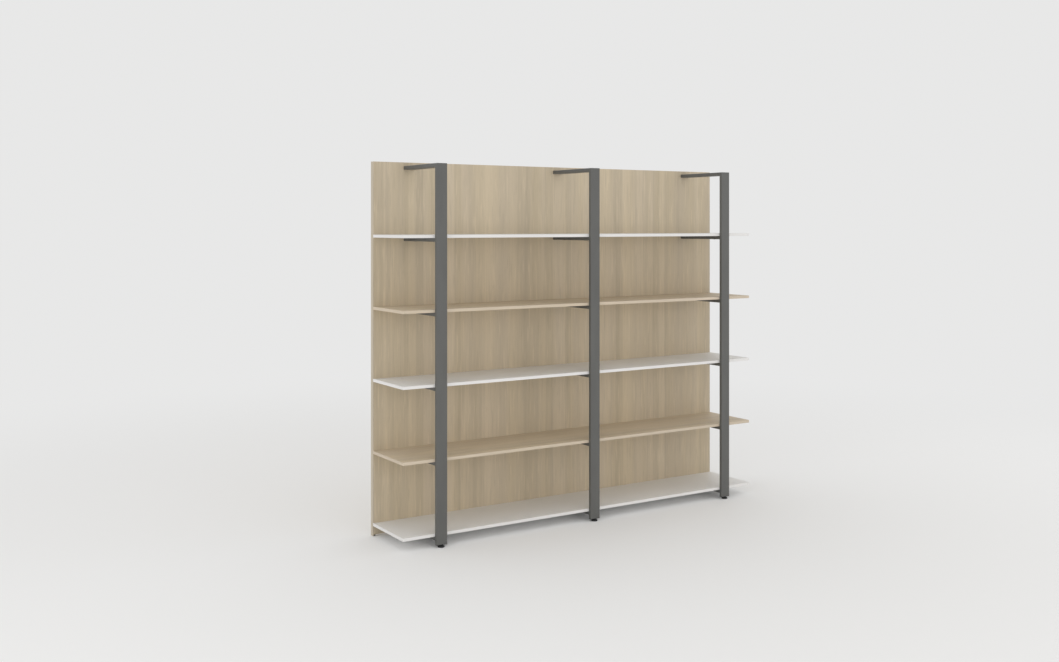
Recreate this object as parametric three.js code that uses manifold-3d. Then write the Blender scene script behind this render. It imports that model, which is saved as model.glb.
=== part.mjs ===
// Single-sided gondola shelving unit: a laminated back panel, three flat steel posts in front, and five
// full-width boards that rest on tube arms between each post and the panel.
//
// Millimetres, +Z up, +X along the shelves, +Y towards the back panel. The origin is on the floor, in the
// middle of the unit's footprint.

import * as THREE from "three";
import { mergeVertices } from "three/addons/utils/BufferGeometryUtils.js";
import Module from "manifold-3d";

const wasm = await Module();
wasm.setup();

// ---------------------------------------------------------------- driving dimensions

const UNIT_WIDTH = 2400;

const PANEL_THICKNESS = 28;
const PANEL_BOTTOM = 8.5;
const PANEL_TOP = 2027.5;
const TRIM_THICKNESS = 4;
const TRIM_BOTTOM = 1;

const TUBE_WIDTH = 63;
const TUBE_DEPTH = 20;
const TUBE_WALL = 2;
const TUBE_CORNER_RADIUS = 2.5;
const MITRE_GAP = 0.5; // measured straight up

const ARM_LENGTH = 366.75;
const ARM_END_PLATE = 4;
const POST_SPACING = 985;
const POST_TOP = 2007.25;

const SHELF_THICKNESS = 16;
const SHELF_CLEARANCE = 0.25;
const FIRST_SHELF_BOTTOM = 55.75;
const SHELF_PITCH = 390;
const SHELF_FINISHES = ["white", "wood", "white", "wood", "white"];

const PLUG_BOTTOM = 12.5;
const PLUG_FLANGE = 2.5;
const PLUG_TOP = 40;
const PLUG_FIT = 0.25;

const PAD_RADIUS = 18;
const PAD_HEIGHT = 7.5;
const PAD_FLOOR = 2.5;
const PAD_SOCKET_RADIUS = 9.5;
const PAD_LIP_RADIUS = 7;
const PAD_LIP_HEIGHT = 2;
const PAD_EDGE = 1.5;

const THREAD_RADIUS = 5;
const THREAD_CLEARANCE = 0.1;
const STUD_TOP = 58;
const STUD_CHAMFER = 1;
const COLLAR_ACROSS_FLATS = 17;
const FOOT_CLEARANCE = 0.25;

const GLIDE_RADIUS = 7.5;
const GLIDE_EDGE = 1;
const GLIDE_STEM_RADIUS = 4;
const GLIDE_STEM_TOP = 38;
const GLIDE_HOLE_TOP = 42;
const GLIDE_END_DISTANCE = 12;
const GLIDE_COUNT = 4;

const BOLT_RADIUS = 4;
const BOLT_HEAD_RADIUS = 10;
const BOLT_HEAD_HEIGHT = 2.5;
const BOLT_RECESS_RADIUS = 10.5;
const BOLT_RECESS_DEPTH = 3;
const BOLT_HOLE_RADIUS = 4.25;
const BOLT_PAST_PLATE = 6;
const BOLT_SOCKET_RADIUS = 2.9;
const BOLT_SOCKET_DEPTH = 4;

const MERGE_DISTANCE = 1e-4;
const CUT_PAST = 1; // how far a cutting tool runs past the face that it opens
const CORNER_SEGMENTS = 2;
const BORE_SEGMENTS = 12;
const FOOT_SEGMENTS = 24;
const HEXAGON = 6;

// ---------------------------------------------------------------- places worked out from them

const HALF_WIDTH = UNIT_WIDTH / 2;
const DEPTH = PANEL_THICKNESS + ARM_LENGTH + TUBE_DEPTH / 2 + PAD_RADIUS;
const PANEL_BACK = DEPTH / 2;
const PANEL_FRONT = PANEL_BACK - PANEL_THICKNESS;
const POST_BACK = PANEL_FRONT - ARM_LENGTH;
const POST_FRONT = POST_BACK - TUBE_DEPTH;
const POST_CENTRE_Y = POST_BACK - TUBE_DEPTH / 2;
const POST_BOTTOM = PLUG_BOTTOM + PLUG_FLANGE;

const POST_PLACES = [
  { side: "left", x: -POST_SPACING },
  { side: "middle", x: 0 },
  { side: "right", x: POST_SPACING },
];

const shelfBottom = (level) => FIRST_SHELF_BOTTOM + (level - 1) * SHELF_PITCH;

// ---------------------------------------------------------------- materials

const woodLaminate = new THREE.MeshStandardMaterial({ color: 0xbfae95, roughness: 0.6, metalness: 0 });
const whiteLaminate = new THREE.MeshStandardMaterial({ color: 0xe9e9e7, roughness: 0.5, metalness: 0 });
const greyPowderCoat = new THREE.MeshStandardMaterial({ color: 0x5f5f5c, roughness: 0.55, metalness: 0.2 });
const blackPlastic = new THREE.MeshStandardMaterial({ color: 0x161616, roughness: 0.5, metalness: 0 });
const zincSteel = new THREE.MeshStandardMaterial({ color: 0xb4b6b8, roughness: 0.35, metalness: 0.9 });
const blackZincSteel = new THREE.MeshStandardMaterial({ color: 0x2a2a2b, roughness: 0.4, metalness: 0.9 });

// ---------------------------------------------------------------- solids

// A three.js geometry as a closed mesh: only positions, shared vertices merged, no zero-area triangles.
function closedMesh(geometry) {
  geometry.deleteAttribute("normal");
  geometry.deleteAttribute("uv");
  const merged = mergeVertices(geometry, MERGE_DISTANCE);
  const corners = merged.index.array;
  const kept = [];
  for (let i = 0; i < corners.length; i += 3) {
    const [a, b, c] = [corners[i], corners[i + 1], corners[i + 2]];
    if (a !== b && b !== c && c !== a) kept.push(a, b, c);
  }
  merged.setIndex(kept);
  return merged;
}

function toManifold(geometry) {
  const mesh = closedMesh(geometry);
  return new wasm.Manifold(
    new wasm.Mesh({
      numProp: 3,
      vertProperties: new Float32Array(mesh.attributes.position.array),
      triVerts: new Uint32Array(mesh.index.array),
    }),
  );
}

function toGeometry(manifold) {
  const mesh = manifold.getMesh();
  const geometry = new THREE.BufferGeometry();
  geometry.setAttribute("position", new THREE.BufferAttribute(mesh.vertProperties, 3));
  geometry.setIndex(new THREE.BufferAttribute(mesh.triVerts, 1));
  return geometry;
}

function cut(geometry, tools) {
  const body = toManifold(geometry);
  return toGeometry(tools.reduce((solid, tool) => solid.subtract(toManifold(tool)), body));
}

// A box between two opposite corners.
function boxBetween([x0, y0, z0], [x1, y1, z1]) {
  const box = new THREE.BoxGeometry(x1 - x0, y1 - y0, z1 - z0);
  return box.translate((x0 + x1) / 2, (y0 + y1) / 2, (z0 + z1) / 2);
}

// A rectangle with rounded corners, centred on the origin.
function roundedRectangle(width, height, radius) {
  const [x, y] = [width / 2, height / 2];
  const shape = new THREE.Shape();
  shape.absarc(x - radius, y - radius, radius, 0, Math.PI / 2);
  shape.absarc(radius - x, y - radius, radius, Math.PI / 2, Math.PI);
  shape.absarc(radius - x, radius - y, radius, Math.PI, 1.5 * Math.PI);
  shape.absarc(x - radius, radius - y, radius, 1.5 * Math.PI, 2 * Math.PI);
  return shape;
}

function extrude(shape, depth) {
  return new THREE.ExtrudeGeometry(shape, { depth, bevelEnabled: false, curveSegments: CORNER_SEGMENTS });
}

// Stands up a shape that was drawn flat and extruded: the drawing's up becomes +Z, its depth becomes -Y.
function standUp(geometry) {
  return geometry.rotateX(Math.PI / 2);
}

// A solid turned about +Z, from a closed profile of [radius, z] points that starts and ends on the axis.
function turned(profile, segments) {
  const points = profile.map(([radius, z]) => new THREE.Vector2(radius, z));
  return new THREE.LatheGeometry(points, segments).rotateX(Math.PI / 2);
}

function cylinderAlongZ(radius, z0, z1, segments) {
  const cylinder = new THREE.CylinderGeometry(radius, radius, z1 - z0, segments);
  return cylinder.rotateX(Math.PI / 2).translate(0, 0, (z0 + z1) / 2);
}

function cylinderAlongY(radius, y0, y1, segments) {
  const cylinder = new THREE.CylinderGeometry(radius, radius, y1 - y0, segments);
  return cylinder.translate(0, (y0 + y1) / 2, 0);
}

// A wedge that takes away one side of the 45 degree mitre between a post and its top arm: side 1 is above and
// behind the mitre plane, side -1 is below and in front of it. The plane runs from the outer top corner down
// to the inner corner, and each side stays half the gap away from it.
function mitreWedge(side) {
  const reach = 2 * TUBE_DEPTH;
  const y = POST_FRONT;
  const z = POST_TOP - (side * MITRE_GAP) / 2;
  const outline = new THREE.Shape([
    new THREE.Vector2(y - reach, z + reach),
    new THREE.Vector2(y + reach, z - reach),
    new THREE.Vector2(y + side * reach, z + side * reach),
  ]);
  const wedge = new THREE.ExtrudeGeometry(outline, { depth: 2 * TUBE_WIDTH, bevelEnabled: false });
  const toYZX = new THREE.Matrix4().makeBasis(
    new THREE.Vector3(0, 1, 0),
    new THREE.Vector3(0, 0, 1),
    new THREE.Vector3(1, 0, 0),
  );
  return wedge.translate(0, 0, -TUBE_WIDTH).applyMatrix4(toYZX);
}

// ---------------------------------------------------------------- back panel and trims

function glidePlaces() {
  const span = UNIT_WIDTH - 2 * GLIDE_END_DISTANCE;
  const step = span / (GLIDE_COUNT - 1);
  return Array.from({ length: GLIDE_COUNT }, (_, i) => GLIDE_END_DISTANCE - HALF_WIDTH + i * step);
}

function armCentreHeights() {
  const underShelves = SHELF_FINISHES.map((_, i) => shelfBottom(i + 1) - TUBE_DEPTH / 2);
  return [...underShelves, POST_TOP - TUBE_DEPTH / 2];
}

function backPanelGeometry() {
  const halfPanel = HALF_WIDTH - TRIM_THICKNESS;
  const board = boxBetween([-halfPanel, PANEL_FRONT, PANEL_BOTTOM], [halfPanel, PANEL_BACK, PANEL_TOP]);
  const tools = [];
  for (const post of POST_PLACES) {
    for (const height of armCentreHeights()) {
      const recessFloor = PANEL_BACK - BOLT_RECESS_DEPTH;
      const past = PANEL_BACK + CUT_PAST;
      const hole = cylinderAlongY(BOLT_HOLE_RADIUS, PANEL_FRONT - CUT_PAST, past, BORE_SEGMENTS);
      const recess = cylinderAlongY(BOLT_RECESS_RADIUS, recessFloor, past, BORE_SEGMENTS);
      tools.push(hole.translate(post.x, 0, height), recess.translate(post.x, 0, height));
    }
  }
  const panelMiddle = (PANEL_FRONT + PANEL_BACK) / 2;
  for (const x of glidePlaces()) {
    const radius = GLIDE_STEM_RADIUS + THREAD_CLEARANCE;
    const hole = cylinderAlongZ(radius, PANEL_BOTTOM - CUT_PAST, GLIDE_HOLE_TOP, BORE_SEGMENTS);
    tools.push(hole.translate(x, panelMiddle, 0));
  }
  return cut(board, tools);
}

function endTrimGeometry(direction) {
  const inner = direction * (HALF_WIDTH - TRIM_THICKNESS);
  const outer = direction * HALF_WIDTH;
  return boxBetween(
    [Math.min(inner, outer), PANEL_FRONT, TRIM_BOTTOM],
    [Math.max(inner, outer), PANEL_BACK, PANEL_TOP],
  );
}

// ---------------------------------------------------------------- posts and arms

function tubeShape(inset) {
  const radius = TUBE_CORNER_RADIUS - inset;
  return roundedRectangle(TUBE_WIDTH - 2 * inset, TUBE_DEPTH - 2 * inset, radius);
}

// A post, centred on x = 0: open at the bottom for its plug, cut at 45 degrees at the top.
function postGeometry() {
  const outer = extrude(tubeShape(0), POST_TOP - POST_BOTTOM).translate(0, POST_CENTRE_Y, POST_BOTTOM);
  const hollow = extrude(tubeShape(TUBE_WALL), POST_TOP - POST_BOTTOM + 2 * CUT_PAST);
  hollow.translate(0, POST_CENTRE_Y, POST_BOTTOM - CUT_PAST);
  return cut(outer, [hollow, mitreWedge(1)]);
}

// An arm, centred on x = 0 with its middle at the given height: open in front, where it meets the post, and
// closed behind by an end plate with the bolt's threaded hole.
function armGeometry(height, front) {
  const outer = standUp(extrude(tubeShape(0), PANEL_FRONT - front));
  outer.translate(0, PANEL_FRONT, height);
  const hollow = standUp(extrude(tubeShape(TUBE_WALL), PANEL_FRONT - ARM_END_PLATE - front + CUT_PAST));
  hollow.translate(0, PANEL_FRONT - ARM_END_PLATE, height);
  const threadRadius = BOLT_RADIUS + THREAD_CLEARANCE;
  const plateFront = PANEL_FRONT - ARM_END_PLATE;
  const thread = cylinderAlongY(threadRadius, plateFront - CUT_PAST, PANEL_FRONT + CUT_PAST, BORE_SEGMENTS);
  thread.translate(0, 0, height);
  return { outer, tools: [hollow, thread] };
}

function shelfArmGeometry(level) {
  const { outer, tools } = armGeometry(shelfBottom(level) - TUBE_DEPTH / 2, POST_BACK);
  return cut(outer, tools);
}

function topArmGeometry() {
  const { outer, tools } = armGeometry(POST_TOP - TUBE_DEPTH / 2, POST_FRONT);
  return cut(outer, [...tools, mitreWedge(-1)]);
}

// ---------------------------------------------------------------- shelves

function shelfGeometry(level) {
  const bottom = shelfBottom(level);
  return boxBetween(
    [-HALF_WIDTH, POST_BACK + SHELF_CLEARANCE, bottom],
    [HALF_WIDTH, PANEL_FRONT - SHELF_CLEARANCE, bottom + SHELF_THICKNESS],
  );
}

// ---------------------------------------------------------------- post feet

// The plug in the post's lower end: a flange under the tube, a body inside it, and the foot's thread.
function footPlugGeometry() {
  const flange = extrude(tubeShape(0), PLUG_FLANGE).translate(0, 0, PLUG_BOTTOM);
  const inset = TUBE_WALL + PLUG_FIT;
  const body = extrude(tubeShape(inset), PLUG_TOP - PLUG_BOTTOM).translate(0, 0, PLUG_BOTTOM);
  const radius = THREAD_RADIUS + THREAD_CLEARANCE;
  const thread = cylinderAlongZ(radius, PLUG_BOTTOM - CUT_PAST, PLUG_TOP + CUT_PAST, BORE_SEGMENTS);
  return toGeometry(toManifold(flange).add(toManifold(body)).subtract(toManifold(thread)));
}

// The threaded stud: a round head in the pad's socket, a hexagonal collar to turn it by, and the thread.
function footStudGeometry() {
  const head = PAD_SOCKET_RADIUS - FOOT_CLEARANCE;
  const headBottom = PAD_FLOOR + FOOT_CLEARANCE;
  const headTop = PAD_HEIGHT - PAD_LIP_HEIGHT - FOOT_CLEARANCE;
  const thread = THREAD_RADIUS;
  const shaft = turned(
    [
      [0, headBottom],
      [head, headBottom],
      [head, headTop],
      [thread, headTop],
      [thread, STUD_TOP - STUD_CHAMFER],
      [thread - STUD_CHAMFER, STUD_TOP],
      [0, STUD_TOP],
    ],
    BORE_SEGMENTS,
  );
  const hexRadius = COLLAR_ACROSS_FLATS / Math.sqrt(3);
  const collarBottom = PAD_HEIGHT + FOOT_CLEARANCE;
  const collar = cylinderAlongZ(hexRadius, collarBottom, PLUG_BOTTOM - FOOT_CLEARANCE, HEXAGON);
  return toGeometry(toManifold(shaft).add(toManifold(collar)));
}

// The round pad: a flat sole, and a socket whose lip snaps over the stud's head.
function footPadGeometry() {
  const lipBottom = PAD_HEIGHT - PAD_LIP_HEIGHT;
  return closedMesh(
    turned(
      [
        [0, 0],
        [PAD_RADIUS - PAD_EDGE, 0],
        [PAD_RADIUS, PAD_EDGE],
        [PAD_RADIUS, PAD_HEIGHT - 2 * PAD_EDGE],
        [PAD_RADIUS - 2 * PAD_EDGE, PAD_HEIGHT],
        [PAD_LIP_RADIUS, PAD_HEIGHT],
        [PAD_LIP_RADIUS, lipBottom],
        [PAD_SOCKET_RADIUS, lipBottom],
        [PAD_SOCKET_RADIUS, PAD_FLOOR],
        [0, PAD_FLOOR],
      ],
      FOOT_SEGMENTS,
    ),
  );
}

// ---------------------------------------------------------------- panel glides and connector bolts

// A small screw-in glide: a round foot and a stem in the panel's lower edge.
function glideGeometry() {
  const top = PANEL_BOTTOM - FOOT_CLEARANCE;
  return closedMesh(
    turned(
      [
        [0, 0],
        [GLIDE_RADIUS - GLIDE_EDGE, 0],
        [GLIDE_RADIUS, GLIDE_EDGE],
        [GLIDE_RADIUS, top],
        [GLIDE_STEM_RADIUS, top],
        [GLIDE_STEM_RADIUS, GLIDE_STEM_TOP - GLIDE_EDGE],
        [GLIDE_STEM_RADIUS - GLIDE_EDGE, GLIDE_STEM_TOP],
        [0, GLIDE_STEM_TOP],
      ],
      BORE_SEGMENTS,
    ),
  );
}

// A flat-headed connector bolt along Y, centred on x = 0, z = 0: the head sits in the recess in the panel's
// back, and the tip stands past the arm's end plate.
function boltGeometry() {
  const headFront = PANEL_BACK - BOLT_RECESS_DEPTH;
  const headBack = headFront + BOLT_HEAD_HEIGHT;
  const tip = PANEL_FRONT - ARM_END_PLATE - BOLT_PAST_PLATE;
  const head = cylinderAlongY(BOLT_HEAD_RADIUS, headFront, headBack, BORE_SEGMENTS);
  const shank = cylinderAlongY(BOLT_RADIUS, tip, headFront + CUT_PAST, BORE_SEGMENTS);
  const socketFloor = headBack - BOLT_SOCKET_DEPTH;
  const socket = cylinderAlongY(BOLT_SOCKET_RADIUS, socketFloor, headBack + CUT_PAST, HEXAGON);
  return toGeometry(toManifold(head).add(toManifold(shank)).subtract(toManifold(socket)));
}

// ---------------------------------------------------------------- assembly

const unit = new THREE.Group();

function place(name, geometry, material, x = 0, y = 0, z = 0, parent = unit) {
  const mesh = new THREE.Mesh(geometry, material);
  mesh.name = name;
  mesh.position.set(x, y, z);
  parent.add(mesh);
}

function addPanel() {
  place("back_panel", backPanelGeometry(), woodLaminate);
  place("end_trim_left", endTrimGeometry(-1), woodLaminate);
  place("end_trim_right", endTrimGeometry(1), woodLaminate);
  const panelMiddle = (PANEL_FRONT + PANEL_BACK) / 2;
  glidePlaces().forEach((x, i) => {
    place(`panel_glide_${i + 1}`, glideGeometry(), blackPlastic, x, panelMiddle);
  });
}

function addShelves() {
  SHELF_FINISHES.forEach((finish, i) => {
    const material = finish === "white" ? whiteLaminate : woodLaminate;
    place(`shelf_${i + 1}_${finish}`, shelfGeometry(i + 1), material);
  });
}

// One post with its arms, its foot and the bolts that hold it to the panel.
function addFrame({ side, x }) {
  const frame = new THREE.Group();
  frame.position.x = x;
  unit.add(frame);
  place(`post_${side}`, postGeometry(), greyPowderCoat, 0, 0, 0, frame);
  place(`top_arm_${side}`, topArmGeometry(), greyPowderCoat, 0, 0, 0, frame);
  SHELF_FINISHES.forEach((_, i) => {
    place(`shelf_arm_${side}_${i + 1}`, shelfArmGeometry(i + 1), greyPowderCoat, 0, 0, 0, frame);
  });
  armCentreHeights().forEach((height, i) => {
    place(`connector_bolt_${side}_${i + 1}`, boltGeometry(), zincSteel, 0, 0, height, frame);
  });
  place(`foot_plug_${side}`, footPlugGeometry(), blackPlastic, 0, POST_CENTRE_Y, 0, frame);
  place(`foot_stud_${side}`, footStudGeometry(), blackZincSteel, 0, POST_CENTRE_Y, 0, frame);
  place(`foot_pad_${side}`, footPadGeometry(), blackPlastic, 0, POST_CENTRE_Y, 0, frame);
}

addPanel();
addShelves();
POST_PLACES.forEach(addFrame);

export default unit;
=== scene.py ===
"""Looks for the gondola shelving unit: laminate boards with edge bands, powder-coated tube frames with
their welds, levelling feet and fixings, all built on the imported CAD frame.

Metres, in the frame's own axes: +X along the shelves, +Y from the posts to the back panel, +Z up."""

import math

import bmesh
import bpy
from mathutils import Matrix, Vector


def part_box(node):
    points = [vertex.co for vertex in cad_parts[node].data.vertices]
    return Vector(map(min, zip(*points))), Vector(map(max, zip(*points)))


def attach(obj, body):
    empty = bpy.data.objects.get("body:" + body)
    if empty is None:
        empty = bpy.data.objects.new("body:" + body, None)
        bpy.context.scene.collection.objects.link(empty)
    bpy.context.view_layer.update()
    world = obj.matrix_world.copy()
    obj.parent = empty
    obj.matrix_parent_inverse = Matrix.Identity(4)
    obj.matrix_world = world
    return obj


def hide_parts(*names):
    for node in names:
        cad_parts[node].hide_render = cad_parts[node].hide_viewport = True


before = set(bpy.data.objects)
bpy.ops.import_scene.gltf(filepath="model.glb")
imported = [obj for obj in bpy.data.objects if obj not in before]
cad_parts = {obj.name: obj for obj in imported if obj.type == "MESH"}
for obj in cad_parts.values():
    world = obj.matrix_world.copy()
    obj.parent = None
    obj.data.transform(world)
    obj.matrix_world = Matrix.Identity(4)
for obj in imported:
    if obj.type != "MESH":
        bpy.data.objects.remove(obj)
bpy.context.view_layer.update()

# ---------------------------------------------------------------- driving dimensions

MM = 0.001
SIDES = ("left", "middle", "right")

FIT_GAP = 0.25 * MM
HAIRLINE = 0.01 * MM

BAND_THICKNESS = 1.0 * MM
BAND_EDGE_RADIUS = 0.45 * BAND_THICKNESS
BAND_END_RADIUS = 0.3 * MM
TRIM_EDGE_RADIUS = 0.8 * MM
TRIM_CORNER_RADIUS = 1.0 * MM
CORE_BEVEL = 0.15 * MM

TUBE_CORNER = 2.5 * MM
TUBE_INNER_CORNER = 0.5 * MM
TUBE_WALL = 2.0 * MM
MITRE_SEAM = 0.1 * MM
TUBE_CHAMFER = 0.4 * MM
END_PLATE = 4.0 * MM
BEAD_SIZE = 3.2 * MM
BEAD_PITCH = 2.4 * MM
BEAD_RIPPLE = 0.12
BEAD_STEPS = 5
BEAD_END_GAP = 1.5 * MM
BEAD_END_SHARE = 0.45  # the bead's size at its ends, as a share of its full size
BEAD_TAPER = 6.0  # how fast it grows from its ends, in full sizes over the whole length

BOLT_RADIUS = 4.0 * MM
BOLT_PITCH = 1.25 * MM
BOLT_HEAD = 2.5 * MM
BOLT_HEAD_RADIUS = 10.0 * MM
BOLT_EDGE = 0.5 * MM
BOLT_SOCKET_FLATS = 5.0 * MM
BOLT_SOCKET_DEPTH = 3.5 * MM
BOLT_SOCKET_RIM = 0.6 * BOLT_SOCKET_FLATS
BOLT_THREAD_LENGTH = 12.0 * MM
RECESS_RADIUS = 10.5 * MM
RECESS_DEPTH = 3.0 * MM
BOLT_HOLE_RADIUS = 4.25 * MM
GLIDE_HOLE_RADIUS = 4.25 * MM
GLIDE_HOLE_SPARE = 4.0 * MM
CUT_PAST = 1.0 * MM  # how far a cutter reaches past the face where it starts or ends

SCREW_HEAD_RADIUS = 4.0 * MM
SCREW_HEAD_HEIGHT = 2.2 * MM
SCREW_SHANK_RADIUS = 1.9 * MM
SCREW_LENGTH = 32.0 * MM
SCREW_SLOT = 2.3 * MM
SCREW_SLOT_WIDTH = 0.55 * MM
SCREW_SLOT_RIM = 1.08 * SCREW_SLOT
SCREW_SLOT_MOUTH = 0.1 * SCREW_HEAD_HEIGHT
SCREW_SLOT_DEPTH = 0.6 * SCREW_HEAD_HEIGHT
SCREW_SLOT_FLOOR_SHARE = 0.6
SCREW_DOME_STEPS = 6
SCREW_PLACES = (0.22, 0.78)  # shares of the arm's length

STUD_RADIUS = 5.0 * MM
STUD_PITCH = 1.5 * MM
STUD_BORE_RADIUS = 5.1 * MM
STUD_HEAD_RADIUS = 9.25 * MM
STUD_HEAD_HEIGHT = 2.5 * MM
STUD_HEAD_EDGE = 0.4 * MM
STUD_CHAMFER = 1.0 * MM
STUD_POINT_RADIUS = STUD_RADIUS - 1.2 * STUD_CHAMFER
STUD_THREAD_GAP = 0.5 * MM
COLLAR_FLATS = 17.0 * MM
COLLAR_CORNER_RADIUS = COLLAR_FLATS / 2 * 1.03
COLLAR_FACE_RADIUS = COLLAR_FLATS / 2 * 0.98
COLLAR_EDGE = 0.2 * MM

PLUG_EDGE = 0.5 * MM
PAD_SOCKET_RADIUS = 9.5 * MM
PAD_LIP_RADIUS = 7.0 * MM
PAD_LIP_HEIGHT = 2.0 * MM
PAD_LIP_EDGE = 0.5 * MM
PAD_FLOOR = 2.5 * MM
PAD_SOLE_EDGE = 1.2 * MM
PAD_TOP_EDGE = 2.6 * MM
PAD_TOP_STEPS = 6
PAD_HOLLOW_DEPTH = 0.4 * MM
PAD_HOLLOW_RADII = (8.0 * MM, 12.0 * MM)
PAD_TREAD_RADIUS = 12.6 * MM

GLIDE_SOLE_EDGE = 1.4 * MM
GLIDE_TOP_EDGE = 0.8 * MM
GLIDE_STEM_RADIUS = 4.0 * MM
GLIDE_PITCH = 2.5 * MM
GLIDE_THREAD_GAP = 0.6 * MM
GLIDE_POINT_HEIGHT = 1.5 * MM
GLIDE_POINT_RADIUS = 0.35 * GLIDE_STEM_RADIUS
GLIDE_CIRCLE_STEPS = 32

THREAD_DEPTH_SHARE = 0.54  # of the pitch
THREAD_STEPS = 5  # rings for each turn

ROUND_STEPS = 4
CIRCLE_STEPS = 48
BLOCK_STEPS = 4
TUBE_STEPS = 24
SHARP_EDGE = math.radians(50)
ANGLE_DIGITS = 7
TINY = 1e-6

PANEL_LOW, PANEL_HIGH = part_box("back_panel")
POST_LOW, POST_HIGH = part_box("post_middle")
PLUG_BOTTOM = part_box("foot_plug_middle")[0].z
TUBE_WIDTH = POST_HIGH.x - POST_LOW.x
TUBE_DEPTH = POST_HIGH.y - POST_LOW.y
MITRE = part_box("top_arm_middle")[1].z + POST_LOW.y  # y + z anywhere on the mitre between post and arm

# ---------------------------------------------------------------- node helpers


def new_material(name):
    material = bpy.data.materials.new(name)
    material.use_nodes = True
    tree = material.node_tree
    return material, tree, tree.nodes["Principled BSDF"]


def node(tree, kind, inputs=None, **settings):
    """A new node. An input is a number, a colour, a vector, or another node's output to link."""
    made = tree.nodes.new(kind)
    for name, value in settings.items():
        setattr(made, name, value)
    for key, value in (inputs or {}).items():
        if isinstance(value, bpy.types.NodeSocket):
            tree.links.new(value, made.inputs[key])
        else:
            made.inputs[key].default_value = value
    return made


def math_node(tree, operation, a, b):
    return node(tree, "ShaderNodeMath", {0: a, 1: b}, operation=operation).outputs[0]


def object_place(tree):
    return node(tree, "ShaderNodeTexCoord").outputs["Object"]


def vector_math(tree, operation, a, b):
    return node(tree, "ShaderNodeVectorMath", {0: a, 1: b}, operation=operation).outputs[0]


def stretched_noise(tree, place, per_metre, detail=2.0, roughness=0.5):
    """Noise at a place, with its own number of cells per metre along X, Y and Z."""
    settings = {
        "Vector": vector_math(tree, "MULTIPLY", place, per_metre),
        "Scale": 1.0,
        "Detail": detail,
        "Roughness": roughness,
    }
    return node(tree, "ShaderNodeTexNoise", settings)


def even_noise(tree, place, per_metre, detail=2.0):
    """Noise at a place, with the same number of cells per metre in every direction."""
    return stretched_noise(tree, place, (per_metre, per_metre, per_metre), detail).outputs["Fac"]


def shaded_strips(tree, place, axis, per_metre):
    """Strips along the grain, each with a shade of its own from 0 to 1 and a slightly soft edge."""
    across = tuple(STRIP_SLANT[(i - axis) % 3] for i in range(3))
    distance = node(tree, "ShaderNodeVectorMath", {0: place, 1: across}, operation="DOT_PRODUCT")
    strips = node(
        tree,
        "ShaderNodeTexVoronoi",
        {"W": distance.outputs["Value"], "Scale": per_metre, "Smoothness": STRIP_SOFTNESS},
        voronoi_dimensions="1D",
        feature="SMOOTH_F1",
    )
    return node(tree, "ShaderNodeSeparateColor", {"Color": strips.outputs["Color"]}).outputs["Red"]


def weighted_sum(tree, parts):
    total = 0.0
    for value, weight in parts:
        total = math_node(tree, "ADD", total, math_node(tree, "MULTIPLY", value, weight))
    return total


def remap(tree, value, low, high, to_low, to_high):
    settings = {"Value": value, "From Min": low, "From Max": high, "To Min": to_low, "To Max": to_high}
    return node(tree, "ShaderNodeMapRange", settings).outputs["Result"]


def mix_colours(tree, share, a, b, blend="MIX"):
    made = node(tree, "ShaderNodeMix", data_type="RGBA", blend_type=blend)
    for index, value in ((0, share), (6, a), (7, b)):
        if isinstance(value, bpy.types.NodeSocket):
            tree.links.new(value, made.inputs[index])
        else:
            made.inputs[index].default_value = value
    return made.outputs[2]


def add_bump(tree, shader, height, distance, strength=1.0):
    settings = {"Height": height, "Distance": distance, "Strength": strength}
    bump = node(tree, "ShaderNodeBump", settings)
    tree.links.new(bump.outputs["Normal"], shader.inputs["Normal"])


# ---------------------------------------------------------------- wood laminate

NOISE_RANGE = (0.3, 0.7)  # where nearly all of a noise's values fall
NARROW_NOISE_RANGE = (0.35, 0.65)

# The layers of the wood figure, in cells per metre across the grain and along it.
WANDER_CELLS = (5.0, 1.3)
BAND_CELLS = (6.5, 0.18)
STREAK_CELLS = (60.0, 1.1)
FIBRE_CELLS = (430.0, 5.0)
VEIN_CELLS = (19.0, 0.3)
FLECK_CELLS = (95.0, 6.0)
PORE_CELLS = (800.0, 20.0)
HUE_CELLS = (13.0, 0.6)
STRIPS_PER_METRE = 21.0
STRIP_SLANT = (0.0, 1.0, 0.7)  # how fast the strips go by along the grain's axis and the next two
STRIP_SOFTNESS = 0.12

# The layers' shares of the figure, and the range of the figure that runs from dark to light.
STRIP_SHARE = 0.2
BAND_SHARE = 0.35
STREAK_SHARE = 0.28
FIBRE_SHARE = 0.17
FIGURE_RANGE = (0.36, 0.64)

# Marks on the figure: the range of their noise, and how much of the mark's colour shows at its two ends.
VEIN_MARKS = (0.62, 0.74, 0.0, 0.26)
DARK_FLECK_MARKS = (0.60, 0.72, 0.0, 0.22)
PALE_FLECK_MARKS = (0.40, 0.28, 0.0, 0.40)
PORE_MARKS = (0.67, 0.75, 0.0, 0.3)
DEEP_TONE = 0.72
PALE_TONE = 1.12
PORE_TONE = (0.8, 0.76, 0.7)

GRAIN_WANDER = 14.0 * MM
GRAIN_RELIEF = 0.06 * MM
GRAIN_BUMP = 0.6
WOOD_ROUGHNESS = (0.6, 0.48)
COOL_TINT = (0.998, 0.999, 1.016, 1)
WARM_TINT = (1.006, 1.0, 0.978, 1)


def scaled(colour, *factors):
    """A colour times one factor, or times one for each channel."""
    return tuple(c * factors[i % len(factors)] for i, c in enumerate(colour))


def opaque(colour):
    return (*colour, 1)


def along_grain(axis, across, along):
    """Cells per metre, few along the grain's axis and many across it."""
    return tuple(along if i == axis else across for i in range(3))


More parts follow.
